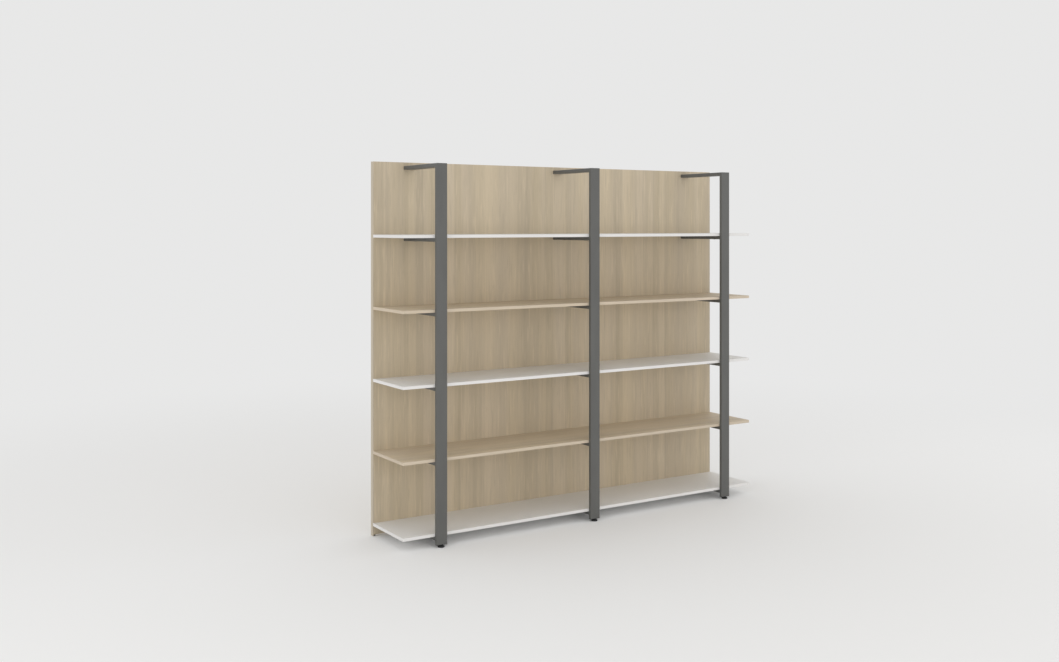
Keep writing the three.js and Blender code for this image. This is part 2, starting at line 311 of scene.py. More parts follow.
def wandering_place(tree, axis):
    """Object space, moved a few millimetres across the grain so that its lines aren't ruled straight."""
    place = object_place(tree)
    wander = stretched_noise(tree, place, along_grain(axis, *WANDER_CELLS), detail=1.0).outputs["Color"]
    centred = vector_math(tree, "SUBTRACT", wander, (0.5, 0.5, 0.5))
    reach = tuple(0.0 if i == axis else GRAIN_WANDER for i in range(3))
    return vector_math(tree, "ADD", place, vector_math(tree, "MULTIPLY", centred, reach))


def wood_laminate(name, axis, light, dark):
    """Pale straight-grained laminate: strips, soft bands, streaks, fibres, veins, flecks and pores."""
    material, tree, shader = new_material(name)
    place = wandering_place(tree, axis)

    def layer(cells, **settings):
        return stretched_noise(tree, place, along_grain(axis, *cells), **settings).outputs["Fac"]

    strips = shaded_strips(tree, place, axis, STRIPS_PER_METRE)
    bands = layer(BAND_CELLS)
    streaks = layer(STREAK_CELLS, detail=4.0, roughness=0.6)
    fibres = layer(FIBRE_CELLS, detail=3.0, roughness=0.65)
    parts = ((strips, STRIP_SHARE), (bands, BAND_SHARE), (streaks, STREAK_SHARE), (fibres, FIBRE_SHARE))
    figure = remap(tree, weighted_sum(tree, parts), *FIGURE_RANGE, 0.0, 1.0)
    colour = mix_colours(tree, figure, opaque(dark), opaque(light))

    deep = scaled(dark, DEEP_TONE)
    pale = scaled(light, PALE_TONE)
    pore = scaled(deep, *PORE_TONE)
    veins = layer(VEIN_CELLS, detail=1.0)
    flecks = layer(FLECK_CELLS, detail=1.0)
    pores = layer(PORE_CELLS, detail=1.0)
    pore_share = remap(tree, pores, *PORE_MARKS)
    for share, shade in (
        (remap(tree, veins, *VEIN_MARKS), deep),
        (remap(tree, flecks, *DARK_FLECK_MARKS), deep),
        (remap(tree, flecks, *PALE_FLECK_MARKS), pale),
        (pore_share, pore),
    ):
        colour = mix_colours(tree, share, colour, opaque(shade))

    hue = remap(tree, layer(HUE_CELLS, detail=1.0), *NARROW_NOISE_RANGE, 0.0, 1.0)
    tint = mix_colours(tree, hue, COOL_TINT, WARM_TINT)
    colour = mix_colours(tree, 1.0, colour, tint, "MULTIPLY")
    tree.links.new(colour, shader.inputs["Base Color"])
    tree.links.new(remap(tree, fibres, *NOISE_RANGE, *WOOD_ROUGHNESS), shader.inputs["Roughness"])
    add_bump(tree, shader, math_node(tree, "SUBTRACT", fibres, pore_share), GRAIN_RELIEF, GRAIN_BUMP)
    return material


# ---------------------------------------------------------------- other materials

MELAMINE_CLOUD_CELLS = 3  # all cells are per metre
MELAMINE_PEARL_CELLS = 650
MELAMINE_SPECK_CELLS = 1500
MELAMINE_CLOUD_TONE = 0.965
MELAMINE_SPECK_TONE = 0.8
MELAMINE_SPECKS = (0.74, 0.82, 0.0, 0.4)
MELAMINE_ROUGHNESS = (0.42, 0.54)
MELAMINE_RELIEF = 0.05 * MM
MELAMINE_BUMP = 0.5

COAT_FILM_CELLS = (14, 14, 4)
COAT_PEEL_CELLS = 520
COAT_SPECK_CELLS = 2600
COAT_FILM_TONES = (0.93, 1.07)
COAT_SPECK_TONE = 1.7
COAT_SPECKS = (0.6, 0.8, 0.0, 0.3)
COAT_ROUGHNESS = (0.4, 0.5)
COAT_RELIEF = 0.12 * MM
COAT_BUMP = 0.45

PLASTIC_RUB_CELLS = (60, 60, 220)
PLASTIC_GRAIN_CELLS = 3200
PLASTIC_WORN_TONE = 2.2
PLASTIC_RUBS = (0.55, 0.8, 0.0, 0.6)
PLASTIC_ROUGHNESS = (0.5, 0.62)
PLASTIC_RELIEF = 0.04 * MM
PLASTIC_BUMP = 0.6

ZINC_CLOUD_CELLS = 120
ZINC_MARK_CELLS = (900, 900, 5000)
ZINC_ROUGHNESS = (0.26, 0.42)
ZINC_RELIEF = 0.02 * MM
ZINC_BUMP = 0.5


def white_melamine(name, colour):
    """White board facing with a fine pearl texture, the faintest cloudiness and a few dust-fine specks."""
    material, tree, shader = new_material(name)
    place = object_place(tree)
    cloud = even_noise(tree, place, MELAMINE_CLOUD_CELLS, detail=3.0)
    pearl = even_noise(tree, place, MELAMINE_PEARL_CELLS)
    specks = even_noise(tree, place, MELAMINE_SPECK_CELLS, detail=0.0)
    clouded = remap(tree, cloud, *NOISE_RANGE, 0.0, 1.0)
    mixed = mix_colours(tree, clouded, opaque(scaled(colour, MELAMINE_CLOUD_TONE)), opaque(colour))
    speckled = remap(tree, specks, *MELAMINE_SPECKS)
    mixed = mix_colours(tree, speckled, mixed, opaque(scaled(colour, MELAMINE_SPECK_TONE)))
    tree.links.new(mixed, shader.inputs["Base Color"])
    tree.links.new(remap(tree, pearl, *NOISE_RANGE, *MELAMINE_ROUGHNESS), shader.inputs["Roughness"])
    add_bump(tree, shader, pearl, MELAMINE_RELIEF, MELAMINE_BUMP)
    return material


def powder_coat(name, colour):
    """Satin grey powder coat: orange-peel bump, fine specks and a slightly uneven film."""
    material, tree, shader = new_material(name)
    place = object_place(tree)
    film = stretched_noise(tree, place, COAT_FILM_CELLS, detail=3.0).outputs["Fac"]
    specks = even_noise(tree, place, COAT_SPECK_CELLS, detail=1.0)
    peel = even_noise(tree, place, COAT_PEEL_CELLS)
    thickness = remap(tree, film, *NOISE_RANGE, 0.0, 1.0)
    thin, thick = (opaque(scaled(colour, tone)) for tone in COAT_FILM_TONES)
    mixed = mix_colours(tree, thickness, thin, thick)
    speckled = remap(tree, specks, *COAT_SPECKS)
    mixed = mix_colours(tree, speckled, mixed, opaque(scaled(colour, COAT_SPECK_TONE)))
    tree.links.new(mixed, shader.inputs["Base Color"])
    tree.links.new(remap(tree, peel, *NOISE_RANGE, *COAT_ROUGHNESS), shader.inputs["Roughness"])
    add_bump(tree, shader, peel, COAT_RELIEF, COAT_BUMP)
    return material


def moulded_plastic(name, colour):
    """Black moulded plastic with a spark-eroded grain and faint rub marks."""
    material, tree, shader = new_material(name)
    place = object_place(tree)
    rub = stretched_noise(tree, place, PLASTIC_RUB_CELLS, detail=4.0, roughness=0.7).outputs["Fac"]
    grain = even_noise(tree, place, PLASTIC_GRAIN_CELLS, detail=1.0)
    worn = remap(tree, rub, *PLASTIC_RUBS)
    mixed = mix_colours(tree, worn, opaque(colour), opaque(scaled(colour, PLASTIC_WORN_TONE)))
    tree.links.new(mixed, shader.inputs["Base Color"])
    tree.links.new(remap(tree, rub, *NOISE_RANGE, *PLASTIC_ROUGHNESS), shader.inputs["Roughness"])
    add_bump(tree, shader, grain, PLASTIC_RELIEF, PLASTIC_BUMP)
    return material


def zinc_plate(name, colour, bloom):
    """Zinc plate on turned steel, with a faint bloom of colour and fine turning marks."""
    material, tree, shader = new_material(name)
    place = object_place(tree)
    cloud = even_noise(tree, place, ZINC_CLOUD_CELLS)
    marks = stretched_noise(tree, place, ZINC_MARK_CELLS, detail=1.0).outputs["Fac"]
    cool = scaled(colour, 1 - bloom, 1, 1 + bloom)
    warm = scaled(colour, 1 + bloom, 1, 1 - 2 * bloom)
    clouded = remap(tree, cloud, *NARROW_NOISE_RANGE, 0.0, 1.0)
    mixed = mix_colours(tree, clouded, opaque(cool), opaque(warm))
    tree.links.new(mixed, shader.inputs["Base Color"])
    shader.inputs["Metallic"].default_value = 1.0
    tree.links.new(remap(tree, marks, *NOISE_RANGE, *ZINC_ROUGHNESS), shader.inputs["Roughness"])
    add_bump(tree, shader, marks, ZINC_RELIEF, ZINC_BUMP)
    return material


# ---------------------------------------------------------------- colours

PANEL_LIGHT = (0.632, 0.530, 0.384)
PANEL_DARK = (0.527, 0.441, 0.314)
SHELF_LIGHT = (0.668, 0.558, 0.411)
SHELF_DARK = (0.566, 0.472, 0.343)
BAND_LIGHT = (0.670, 0.572, 0.442)
BAND_DARK = (0.595, 0.500, 0.380)
TRIM_LIGHT = (0.600, 0.530, 0.419)
TRIM_DARK = (0.534, 0.465, 0.360)
WHITE_FACE = (0.83, 0.825, 0.81)
WHITE_BAND = (0.83, 0.815, 0.795)
DARK_GREY = (0.112, 0.112, 0.106)
BLACK = (0.012, 0.012, 0.012)
ZINC = (0.38, 0.387, 0.395)
BLACK_ZINC = (0.045, 0.046, 0.048)

ALONG_X = 0
ALONG_Y = 1
ALONG_Z = 2

panel_wood = wood_laminate("panel_wood_laminate", ALONG_Z, PANEL_LIGHT, PANEL_DARK)
shelf_wood = wood_laminate("shelf_wood_laminate", ALONG_X, SHELF_LIGHT, SHELF_DARK)
shelf_band = wood_laminate("wood_edge_band_along_x", ALONG_X, BAND_LIGHT, BAND_DARK)
shelf_end_band = wood_laminate("wood_edge_band_along_y", ALONG_Y, BAND_LIGHT, BAND_DARK)
trim_wood = wood_laminate("wood_edge_band_along_z", ALONG_Z, TRIM_LIGHT, TRIM_DARK)
white_board = white_melamine("white_melamine", WHITE_FACE)
white_band = white_melamine("white_edge_band", WHITE_BAND)
grey_coat = powder_coat("grey_powder_coat", DARK_GREY)
black_plastic = moulded_plastic("black_moulded_plastic", BLACK)
zinc = zinc_plate("zinc_steel", ZINC, bloom=0.05)
black_zinc = zinc_plate("black_zinc_steel", BLACK_ZINC, bloom=0.08)

# ---------------------------------------------------------------- mesh helpers


def loft(rings, closed=False):
    """Quads between rings with the same number of points. An open loft is capped at both ends."""
    mesh = bmesh.new()
    rows = [[mesh.verts.new(point) for point in ring] for ring in rings]
    pairs = list(zip(rows, rows[1:]))
    if closed:
        pairs.append((rows[-1], rows[0]))
    for low, high in pairs:
        for i in range(len(low)):
            j = (i + 1) % len(low)
            mesh.faces.new((low[i], low[j], high[j], high[i]))
    if not closed:
        mesh.faces.new(rows[0])
        mesh.faces.new(rows[-1])
    bmesh.ops.recalc_face_normals(mesh, faces=mesh.faces)
    return mesh


def joined(meshes):
    """Several bmeshes as one."""
    whole = bmesh.new()
    for part in meshes:
        data = bpy.data.meshes.new("part")
        part.to_mesh(data)
        part.free()
        whole.from_mesh(data)
        bpy.data.meshes.remove(data)
    return whole


def make_piece(name, mesh, material, body="root", stands_for=()):
    """An object from a bmesh, shaded smooth with flat faces kept flat, riding on a CAD body."""
    data = bpy.data.meshes.new(name)
    for face in mesh.faces:
        face.smooth = True
    for edge in mesh.edges:
        edge.smooth = edge.calc_face_angle(0.0) < SHARP_EDGE
    mesh.to_mesh(data)
    mesh.free()
    data.materials.append(material)
    piece = bpy.data.objects.new(name, data)
    bpy.context.scene.collection.objects.link(piece)
    normals = piece.modifiers.new("flat_faces", "WEIGHTED_NORMAL")
    normals.keep_sharp = True
    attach(piece, body)
    if stands_for:
        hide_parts(*stands_for)
    return piece


def even_angles(steps=CIRCLE_STEPS):
    return [2 * math.pi * i / steps for i in range(steps)]


def rounded_rectangle(half_width, half_height, radius):
    """How far a rectangle with round corners reaches from its middle, as a function of the angle."""
    corner = Vector((half_width - radius, half_height - radius))

    def reach(angle):
        across = abs(math.cos(angle))
        up = abs(math.sin(angle))
        if half_width * up <= corner.y * across:
            return half_width / across
        if half_height * across <= corner.x * up:
            return half_height / up
        along = across * corner.x + up * corner.y
        return along + math.sqrt(max(along**2 - corner.length_squared + radius**2, 0))

    return reach


def rectangle_angles(half_width, half_height, radius, steps):
    """Even angles, and those of the points round each corner, in order."""
    angles = even_angles(steps)
    for i in range(ROUND_STEPS + 1):
        turn = i / ROUND_STEPS * math.pi / 2
        u = half_width - radius + radius * math.cos(turn)
        v = half_height - radius + radius * math.sin(turn)
        for su, sv in ((1, 1), (-1, 1), (-1, -1), (1, -1)):
            angles.append(math.atan2(sv * v, su * u) % (2 * math.pi))
    return sorted(set(round(a, ANGLE_DIGITS) for a in angles))


def outline(radius, angles):
    """Points round the middle. The radius is a number, or a function of the angle."""
    radii = [radius(a) if callable(radius) else radius for a in angles]
    return [(r * math.cos(a), r * math.sin(a)) for r, a in zip(radii, angles)]


def quarter_round(radius, steps=ROUND_STEPS):
    """(inset, height) pairs round an edge, from the flat end to the straight side."""
    angles = [i / steps * math.pi / 2 for i in range(steps + 1)]
    return [(radius - radius * math.sin(a), radius - radius * math.cos(a)) for a in angles]


def block(low, high, edge, corner):
    """A solid box between two corners, with every edge rounded, built up along Z."""
    middle = (low + high) / 2
    half = (high - low) / 2
    angles = rectangle_angles(half.x, half.y, corner, BLOCK_STEPS)
    start = [(inset, low.z + height) for inset, height in quarter_round(edge)]
    end = [(inset, high.z - height) for inset, height in reversed(quarter_round(edge))]
    rings = []
    for inset, z in start + end:
        reach = rounded_rectangle(half.x - inset, half.y - inset, max(corner - inset, HAIRLINE))
        rings.append([(middle.x + u, middle.y + v, z) for u, v in outline(reach, angles)])
    return loft(rings)


def hexagon(flats, limit=math.inf):
    """A hexagon's radius at an angle, cut off at a limit where its corners are chamfered."""

    def radius(a):
        off_flat = (a + math.pi / 6) % (math.pi / 3) - math.pi / 6
        return min(flats / 2 / math.cos(off_flat), limit)

    return radius


def cross(length, width):
    """The radius of a plus-shaped screwdriver recess at an angle."""

    def radius(a):
        off_axis = (a + math.pi / 4) % (math.pi / 2) - math.pi / 4
        return min(length / math.cos(off_axis), width / max(abs(math.sin(off_axis)), TINY))

    return radius


def turned_z(profile, centre, angles=None, closed=False):
    """A solid round a vertical axis through (x, y), from (radius, z) pairs."""
    rings = []
    for radius, z in profile:
        points = outline(radius, angles or even_angles())
        rings.append([(centre[0] + u, centre[1] + v, z) for u, v in points])
    return loft(rings, closed)


def turned_y(profile, centre, angles=None, closed=False):
    """A solid round an axis along Y through (x, z), from (radius, y) pairs. A y may depend on z."""
    rings = []
    for radius, y in profile:
        points = [(centre[0] + u, centre[1] + v) for u, v in outline(radius, angles or even_angles())]
        rings.append([(x, y(z) if callable(y) else y, z) for x, z in points])
    return loft(rings, closed)


def thread(radius, pitch, start, end, way=1):
    """(radius, height) pairs of a right-hand thread between two heights, for a turned solid.

    The way that angles run round the axis is 1 about Z and -1 about Y."""
    depth = THREAD_DEPTH_SHARE * pitch
    count = max(2, round(abs(end - start) / pitch * THREAD_STEPS))

    def at(height):
        def ridge(a):
            turn = (height / pitch - way * a / (2 * math.pi)) % 1
            return radius - depth * abs(2 * turn - 1)

        return ridge

    heights = [start + (end - start) * i / count for i in range(count + 1)]
    return [(at(h), h) for h in heights]


# ---------------------------------------------------------------- boards


def strip(low, high):
    """A strip of edge band, with the edges along its length rounded and its ends nearly square."""
    size = high - low
    along = 0 if size.x > size.y else 1
    half = size / 2
    middle = (low + high) / 2
    across = 1 - along
    angles = rectangle_angles(half[across], half.z, BAND_EDGE_RADIUS, BLOCK_STEPS)
    ends = [(inset, low[along] + height) for inset, height in quarter_round(BAND_END_RADIUS)]
    ends += [(inset, high[along] - height) for inset, height in reversed(quarter_round(BAND_END_RADIUS))]
    rings = []
    for inset, place in ends:
        radius = BAND_EDGE_RADIUS - inset / 2
        ring = []
        for u, v in outline(rounded_rectangle(half[across] - inset, half.z - inset, radius), angles):
            point = Vector((0, 0, middle.z + v))
            point[along] = place
            point[across] = middle[across] + u
            ring.append(point)
        rings.append(ring)
    return loft(rings)


def add_shelf(name):
    """One shelf: a faced core, long bands at the front and back, and short bands on its two ends."""
    low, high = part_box(name)
    wooden = name.endswith("wood")
    inset = Vector((BAND_THICKNESS, BAND_THICKNESS, 0))
    core = block(low + inset, high - inset, CORE_BEVEL, CORE_BEVEL)
    make_piece(f"{name}_core", core, shelf_wood if wooden else white_board, stands_for=[name])
    front_high = Vector((high.x, low.y + BAND_THICKNESS, high.z))
    back_low = Vector((low.x, high.y - BAND_THICKNESS, low.z))
    long_bands = joined([strip(low, front_high), strip(back_low, high)])
    make_piece(f"{name}_long_bands", long_bands, shelf_band if wooden else white_band)
    inner_low, inner_high = low.y + BAND_THICKNESS, high.y - BAND_THICKNESS
    left = strip(Vector((low.x, inner_low, low.z)), Vector((low.x + BAND_THICKNESS, inner_high, high.z)))
    right = strip(Vector((high.x - BAND_THICKNESS, inner_low, low.z)), Vector((high.x, inner_high, high.z)))
    end_bands = joined([left, right])
    make_piece(f"{name}_end_bands", end_bands, shelf_end_band if wooden else white_band)


def centre_of(name):
    low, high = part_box(name)
    return (low + high) / 2


def nodes_named(start):
    return sorted(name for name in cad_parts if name.startswith(start))


def cut_with(mesh, cutters):
    """The bmesh with the cutters' space taken out of it."""
    objects = []
    for name, part in (("cut_body", mesh), ("cut_tool", joined(cutters))):
        data = bpy.data.meshes.new(name)
        part.to_mesh(data)
        part.free()
        piece = bpy.data.objects.new(name, data)
        bpy.context.scene.collection.objects.link(piece)
        objects.append(piece)
    body, tool = objects
    difference = body.modifiers.new("cut", "BOOLEAN")
    difference.object = tool
    difference.operation = "DIFFERENCE"
    difference.solver = "EXACT"
    evaluated = body.evaluated_get(bpy.context.evaluated_depsgraph_get())
    result = bmesh.new()
    result.from_mesh(evaluated.to_mesh())
    evaluated.to_mesh_clear()
    for piece in objects:
        data = piece.data
        bpy.data.objects.remove(piece)
        bpy.data.meshes.remove(data)
    return result


def bolt_holes():
    """What the connector bolts' recesses and holes take out of the panel."""
    recess_floor = PANEL_HIGH.y - RECESS_DEPTH
    profile = [
        (BOLT_HOLE_RADIUS, PANEL_LOW.y - CUT_PAST),
        (BOLT_HOLE_RADIUS, recess_floor),
        (RECESS_RADIUS, recess_floor),
        (RECESS_RADIUS, PANEL_HIGH.y + CUT_PAST),
    ]
    return [turned_y(profile, centre_of(name).xz) for name in nodes_named("connector_bolt")]


def glide_holes():
    """What the glides' holes take out of the panel's bottom edge."""
    cutters = []
    for name in nodes_named("panel_glide"):
        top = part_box(name)[1].z + GLIDE_HOLE_SPARE
        hole = [(GLIDE_HOLE_RADIUS, PANEL_LOW.z - CUT_PAST), (GLIDE_HOLE_RADIUS, top)]
        cutters.append(turned_z(hole, centre_of(name).xy))
    return cutters


def add_back_panel():
    """The panel's faced core with its holes, and the bands on its top and bottom edges."""
    band = Vector((0, 0, BAND_THICKNESS))
    core = block(PANEL_LOW + band, PANEL_HIGH - band, CORE_BEVEL, CORE_BEVEL)
    core = cut_with(core, bolt_holes() + glide_holes())
    make_piece("back_panel_core", core, panel_wood, stands_for=["back_panel"])
    top_low = Vector((PANEL_LOW.x, PANEL_LOW.y, PANEL_HIGH.z - BAND_THICKNESS))
    top = block(top_low, PANEL_HIGH, BAND_END_RADIUS, BAND_END_RADIUS)
    make_piece("back_panel_top_band", top, shelf_band)
    bottom_high = Vector((PANEL_HIGH.x, PANEL_HIGH.y, PANEL_LOW.z + BAND_THICKNESS))
    bottom = cut_with(block(PANEL_LOW, bottom_high, BAND_END_RADIUS, BAND_END_RADIUS), glide_holes())
    make_piece("back_panel_bottom_band", bottom, shelf_band)


def add_end_trims():
    """The thin boards that close the panel's two ends."""
    for name in nodes_named("end_trim"):
        low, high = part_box(name)
        board = block(low, high, TRIM_EDGE_RADIUS, TRIM_CORNER_RADIUS)
        make_piece(f"{name}_board", board, trim_wood, stands_for=[name])


# ---------------------------------------------------------------- frames

TUBE_ANGLES = rectangle_angles(TUBE_WIDTH / 2, TUBE_DEPTH / 2, TUBE_CORNER, TUBE_STEPS)


def tube_outline(inset):
    """The tube's section, made smaller all round, as a function of the angle."""
    radius = max(TUBE_CORNER - inset, TUBE_INNER_CORNER)
    return rounded_rectangle(TUBE_WIDTH / 2 - inset, TUBE_DEPTH / 2 - inset, radius)


def add_post(side):
    """A post: hollow rectangular tube with rounded corners, cut at 45 degrees at its top."""
    name = f"post_{side}"
    middle = centre_of(name)

    def top(y):
        return MITRE - MITRE_SEAM - y

    rings = []
    for inset, height in (
        (TUBE_CHAMFER, POST_LOW.z),
        (0, POST_LOW.z + TUBE_CHAMFER),
        (0, top),
        (TUBE_WALL, top),
        (TUBE_WALL, POST_LOW.z),
    ):
        ring = []
        for u, v in outline(tube_outline(inset), TUBE_ANGLES):
            y = middle.y + v
            ring.append((middle.x + u, y, height(y) if callable(height) else height))
        rings.append(ring)
    tube = loft(rings, closed=True)
    make_piece(f"{name}_tube", tube, grey_coat, stands_for=[name])


def add_arm(name, mitred):
    """An arm: the same tube laid flat, open at the post, with a plate at the panel bored for the bolt."""
    low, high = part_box(name)
    place = ((low.x + high.x) / 2, high.z - TUBE_DEPTH / 2)
    back = high.y

    def mouth(z):
        return MITRE - z if mitred else POST_HIGH.y

    profile = [
        (BOLT_HOLE_RADIUS, back - END_PLATE),
        (tube_outline(TUBE_WALL), back - END_PLATE),
        (tube_outline(TUBE_WALL), mouth),
        (tube_outline(0), mouth),
        (tube_outline(0), back - TUBE_CHAMFER),
        (tube_outline(TUBE_CHAMFER), back),
        (BOLT_HOLE_RADIUS, back),
    ]
    tube = turned_y(profile, place, TUBE_ANGLES, closed=True)
    make_piece(f"{name}_tube", tube, grey_coat, stands_for=[name])


def bead(left, right, corner_y, corner_z):
    """A rippled weld bead along X in the corner under an arm, behind its post."""
    count = round((right - left) / BEAD_PITCH * BEAD_STEPS)
    rings = []
    for i in range(count + 1):
        share = i / count
        x = left + (right - left) * share
        ripple = abs(math.sin(math.pi * (x - left) / BEAD_PITCH))
        taper = min(1, BEAD_TAPER * min(share, 1 - share) + BEAD_END_SHARE)
        size = BEAD_SIZE * taper * (1 - BEAD_RIPPLE * ripple)
        ring = [(x, corner_y, corner_z)]
        for step in range(BEAD_STEPS + 1):
            angle = step / BEAD_STEPS * math.pi / 2
            ring.append((x, corner_y + size * math.sin(angle), corner_z - size * math.cos(angle)))
        rings.append(ring)
    return loft(rings)


def add_welds(side):
    """The beads of one frame, under its top arm and under each of its shelf arms."""
    beads = []
    for name in [f"top_arm_{side}"] + nodes_named(f"shelf_arm_{side}"):
        low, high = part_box(name)
        under = high.z - TUBE_DEPTH
        beads.append(bead(low.x + BEAD_END_GAP, high.x - BEAD_END_GAP, POST_HIGH.y, under))
    make_piece(f"weld_beads_{side}", joined(beads), grey_coat)


def screw(x, y, under):
    """A pan-head screw with a cross recess, driven up through an arm into its shelf."""
    bottom = under - SCREW_HEAD_HEIGHT
    share = SCREW_SLOT_FLOOR_SHARE
    dome = [(SCREW_SHANK_RADIUS, under + SCREW_LENGTH), (SCREW_SHANK_RADIUS, under)]
    for step in range(SCREW_DOME_STEPS):
        turn = step / SCREW_DOME_STEPS * math.pi / 2
        dome.append((SCREW_HEAD_RADIUS * math.cos(turn), under - SCREW_HEAD_HEIGHT * math.sin(turn)))
    dome += [
        (SCREW_SLOT_RIM, bottom),
        (cross(SCREW_SLOT, SCREW_SLOT_WIDTH), bottom + SCREW_SLOT_MOUTH),
        (cross(SCREW_SLOT * share, SCREW_SLOT_WIDTH * share), bottom + SCREW_SLOT_DEPTH),
    ]
    return turned_z(dome, (x, y))


def add_shelf_screws(side):
    """The two screws under each shelf arm of one frame."""
    screws = []
    for name in nodes_named(f"shelf_arm_{side}"):
        low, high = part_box(name)
        for share in SCREW_PLACES:
            y = low.y + (high.y - low.y) * share
            screws.append(screw((low.x + high.x) / 2, y, low.z))
    make_piece(f"shelf_screws_{side}", joined(screws), zinc)


def add_connector_bolt(name):
    """A flat-headed socket bolt from the panel's back into an arm's end plate."""
    low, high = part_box(name)
    head_front = high.y - BOLT_HEAD
    socket = hexagon(BOLT_SOCKET_FLATS)
    profile = [(BOLT_RADIUS - BOLT_EDGE, low.y)]
    profile += thread(BOLT_RADIUS, BOLT_PITCH, low.y + BOLT_EDGE, low.y + BOLT_THREAD_LENGTH, way=-1)
    profile += [
        (BOLT_RADIUS, low.y + BOLT_THREAD_LENGTH + BOLT_EDGE),
        (BOLT_RADIUS, head_front),
        (BOLT_HEAD_RADIUS - BOLT_EDGE, head_front),
        (BOLT_HEAD_RADIUS, head_front + BOLT_EDGE),
        (BOLT_HEAD_RADIUS, high.y - 2 * BOLT_EDGE),
        (BOLT_HEAD_RADIUS - 0.6 * BOLT_EDGE, high.y - 0.6 * BOLT_EDGE),
        (BOLT_HEAD_RADIUS - 2 * BOLT_EDGE, high.y),
        (BOLT_SOCKET_RIM, high.y),
        (socket, high.y - 0.3 * BOLT_EDGE),
        (socket, high.y - BOLT_SOCKET_DEPTH),
    ]
    bolt = turned_y(profile, centre_of(name).xz)
    make_piece(f"{name}_turned", bolt, zinc, stands_for=[name])


# ---------------------------------------------------------------- feet


def add_foot_plug(side):
    """The plug in a post's end: a flange under the tube, a body in it, and the bore for the stud."""
    name = f"foot_plug_{side}"
    low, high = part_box(name)
    flange_top = POST_LOW.z - HAIRLINE
    body = tube_outline(TUBE_WALL + FIT_GAP)
    profile = [
        (tube_outline(PLUG_EDGE), low.z),
        (tube_outline(0), low.z + PLUG_EDGE),
        (tube_outline(0), flange_top),
        (body, flange_top),
        (body, high.z),
        (STUD_BORE_RADIUS, high.z),
        (STUD_BORE_RADIUS, low.z),
    ]
    plug = turned_z(profile, centre_of(name).xy, TUBE_ANGLES, closed=True)
    make_piece(f"{name}_moulded", plug, black_plastic, stands_for=[name])


def add_foot_stud(side):
    """The stud: a round head in the pad, a chamfered hexagonal collar and an M10 thread."""
    name = f"foot_stud_{side}"
    low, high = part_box(name)
    pad_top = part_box(f"foot_pad_{side}")[1].z
    head_top = low.z + STUD_HEAD_HEIGHT
    collar_low = pad_top + FIT_GAP
    collar_high = PLUG_BOTTOM - FIT_GAP
    flats = hexagon(COLLAR_FLATS)
    cut_corners = hexagon(COLLAR_FLATS, COLLAR_CORNER_RADIUS)
    profile = [
        (STUD_HEAD_RADIUS - STUD_HEAD_EDGE, low.z),
        (STUD_HEAD_RADIUS, low.z + STUD_HEAD_EDGE),
        (STUD_HEAD_RADIUS, head_top),
        (STUD_RADIUS, head_top),
        (STUD_RADIUS, collar_low),
        (COLLAR_FACE_RADIUS, collar_low),
        (cut_corners, collar_low + COLLAR_EDGE),
        (flats, collar_low + STUD_CHAMFER),
        (flats, collar_high - STUD_CHAMFER),
        (cut_corners, collar_high - COLLAR_EDGE),
        (COLLAR_FACE_RADIUS, collar_high),
        (STUD_RADIUS, collar_high),
    ]
    profile += thread(STUD_RADIUS, STUD_PITCH, collar_high + STUD_THREAD_GAP, high.z - STUD_CHAMFER)
    profile.append((STUD_POINT_RADIUS, high.z))
    stud = turned_z(profile, centre_of(name).xy)
    make_piece(
        f"{name}_turned",
        stud,
        black_zinc,
        body=f"foot_screw_{side}",
        stands_for=[name],
    )


def add_foot_pad(side):
    """The moulded pad: a wide sole with a soft edge, and the socket that holds the stud's head."""
    name = f"foot_pad_{side}"
    low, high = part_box(name)
    radius = (high.x - low.x) / 2
    profile = [(hollow, low.z + PAD_HOLLOW_DEPTH) for hollow in PAD_HOLLOW_RADII]
    profile.append((PAD_TREAD_RADIUS, low.z))
    profile += [(radius - inset, low.z + height) for inset, height in quarter_round(PAD_SOLE_EDGE)]
    top_edge = reversed(quarter_round(PAD_TOP_EDGE, PAD_TOP_STEPS))
    profile += [(radius - inset, high.z - height) for inset, height in top_edge]
    profile += [
        (PAD_LIP_RADIUS + PAD_LIP_EDGE, high.z),
        (PAD_LIP_RADIUS, high.z - PAD_LIP_EDGE),
        (PAD_LIP_RADIUS, high.z - PAD_LIP_HEIGHT),
        (PAD_SOCKET_RADIUS, high.z - PAD_LIP_HEIGHT),
        (PAD_SOCKET_RADIUS, low.z + PAD_FLOOR),
    ]
    pad = turned_z(profile, centre_of(name).xy)
    make_piece(
        f"{name}_moulded",
        pad,
        black_plastic,
        body=f"post_foot_{side}",
        stands_for=[name],
    )


def add_panel_glide(number):
    """A small screw-in glide under the back panel: a domed foot and a coarse-threaded stem."""
    name = f"panel_glide_{number}"
    low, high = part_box(name)
    radius = (high.x - low.x) / 2
    foot_top = PANEL_LOW.z - FIT_GAP
    thread_start = foot_top + GLIDE_THREAD_GAP
    thread_end = high.z - GLIDE_POINT_HEIGHT
    profile = [(radius - inset, low.z + height) for inset, height in quarter_round(GLIDE_SOLE_EDGE)]
    top_edge = reversed(quarter_round(GLIDE_TOP_EDGE))
    profile += [(radius - inset, foot_top - height) for inset, height in top_edge]
    profile.append((GLIDE_STEM_RADIUS, foot_top))
    profile += thread(GLIDE_STEM_RADIUS, GLIDE_PITCH, thread_start, thread_end)
    profile.append((GLIDE_POINT_RADIUS, high.z))
    glide = turned_z(profile, centre_of(name).xy, even_angles(GLIDE_CIRCLE_STEPS))
    make_piece(
        f"{name}_moulded",
        glide,
        black_plastic,
        body=f"panel_foot_{number}",
        stands_for=[name],
    )


# ---------------------------------------------------------------- the unit


